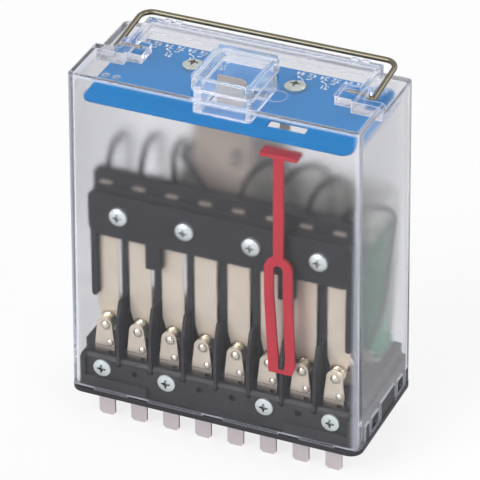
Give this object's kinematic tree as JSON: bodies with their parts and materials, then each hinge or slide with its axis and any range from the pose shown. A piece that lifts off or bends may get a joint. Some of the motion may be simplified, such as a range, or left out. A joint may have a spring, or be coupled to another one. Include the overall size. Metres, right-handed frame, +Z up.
{
  "type": "plug-in latching relay",
  "caption": "Plug-in relay in a tall clear cover, with blade pins below a black base, moving contact blades, a hand lever, a red position flag and a wire bail on top.",
  "frame": {"origin": "middle of the underside of the base flange, the face that lies on the socket; the plug pins reach below it", "axes": "+X along the row of poles, to the right seen from the front; +Y from the contact side to the coil side; +Z up, away from the socket"},
  "size_m": [0.0888, 0.0425, 0.1163],
  "materials": {
    "clear_plastic": "clear moulded polycarbonate",
    "blue_plate": "satin blue sheet",
    "zinc_screw": "pale zinc plate",
    "black_plastic": "moulded black, fine texture",
    "nickel_silver": "rolled nickel silver, warm grey",
    "contact_silver": "silver contact faces with a gold flash",
    "plated_iron": "nickel-plated soft iron",
    "magnet_black": "sintered, matt",
    "bobbin_plastic": "pale green moulding",
    "coil_tape": "green wrapping tape",
    "red_plastic": "moulded red",
    "bail_wire": "drawn wire, dull olive passivation",
    "lead_sleeve": "dark flexible sleeve"
  },
  "bodies": {
    "housing": {"cover": "clear_plastic", "turret_frame": "clear_plastic", "label_plate": "blue_plate", "label_screws": "zinc_screw", "base": "black_plastic", "terminal_strip": "black_plastic", "strip_screws": "zinc_screw", "pole_barriers": "black_plastic", "front_contact_1": "nickel_silver", "front_contact_2": "nickel_silver", "front_contact_3": "nickel_silver", "front_contact_4": "nickel_silver", "front_contact_5": "nickel_silver", "front_contact_6": "nickel_silver", "front_contact_7": "nickel_silver", "front_contact_8": "nickel_silver", "front_contact_tips": "contact_silver", "foot_rivets": "contact_silver", "rear_contacts": "nickel_silver", "rear_contact_tips": "contact_silver", "common_terminals": "nickel_silver", "coil_pins": "nickel_silver", "magnet_frame": "plated_iron", "coil_bobbin": "bobbin_plastic", "coil_winding": "coil_tape", "coil_core": "plated_iron", "permanent_magnet": "magnet_black", "lead_1": "lead_sleeve", "lead_2": "lead_sleeve", "lead_3": "lead_sleeve", "lead_4": "lead_sleeve", "lead_5": "lead_sleeve", "lead_6": "lead_sleeve", "lead_7": "lead_sleeve", "lead_8": "lead_sleeve"},
    "armature": {"front_bar": "black_plastic", "rear_bar": "black_plastic", "bar_screws": "zinc_screw", "blade_1": "nickel_silver", "blade_2": "nickel_silver", "blade_3": "nickel_silver", "blade_4": "nickel_silver", "blade_5": "nickel_silver", "blade_6": "nickel_silver", "blade_7": "nickel_silver", "blade_8": "nickel_silver", "blade_contacts": "contact_silver", "carrier_hub": "black_plastic", "pivot_shaft": "plated_iron", "armature_plate": "plated_iron", "manual_lever": "nickel_silver"},
    "flag": {"position_flag": "red_plastic"},
    "bail": {"wire_bail": "bail_wire"}
  },
  "joints": [
    {"name": "armature_rock", "type": "hinge", "parent": "housing", "child": "armature", "pos_m": [0, 0, 0.062], "axis": [1, 0, 0], "range_deg": [0, 2.2], "deforming": ["lead_1", "lead_2", "lead_3", "lead_4", "lead_5", "lead_6", "lead_7", "lead_8"]},
    {"name": "flag_swing", "type": "hinge", "parent": "housing", "child": "flag", "pos_m": [0.02, -0.0155, 0.0218], "axis": [1, 0, 0], "range_deg": [-1.83, 0]},
    {"name": "bail_swing", "type": "hinge", "parent": "housing", "child": "bail", "pos_m": [0, 0.0025, 0.1016], "axis": [1, 0, 0], "range_deg": [0, 110]}
  ],
  "couplings": [
    {"joint": "flag_swing", "follows": "armature_rock", "ratio": -0.83}
  ]
}
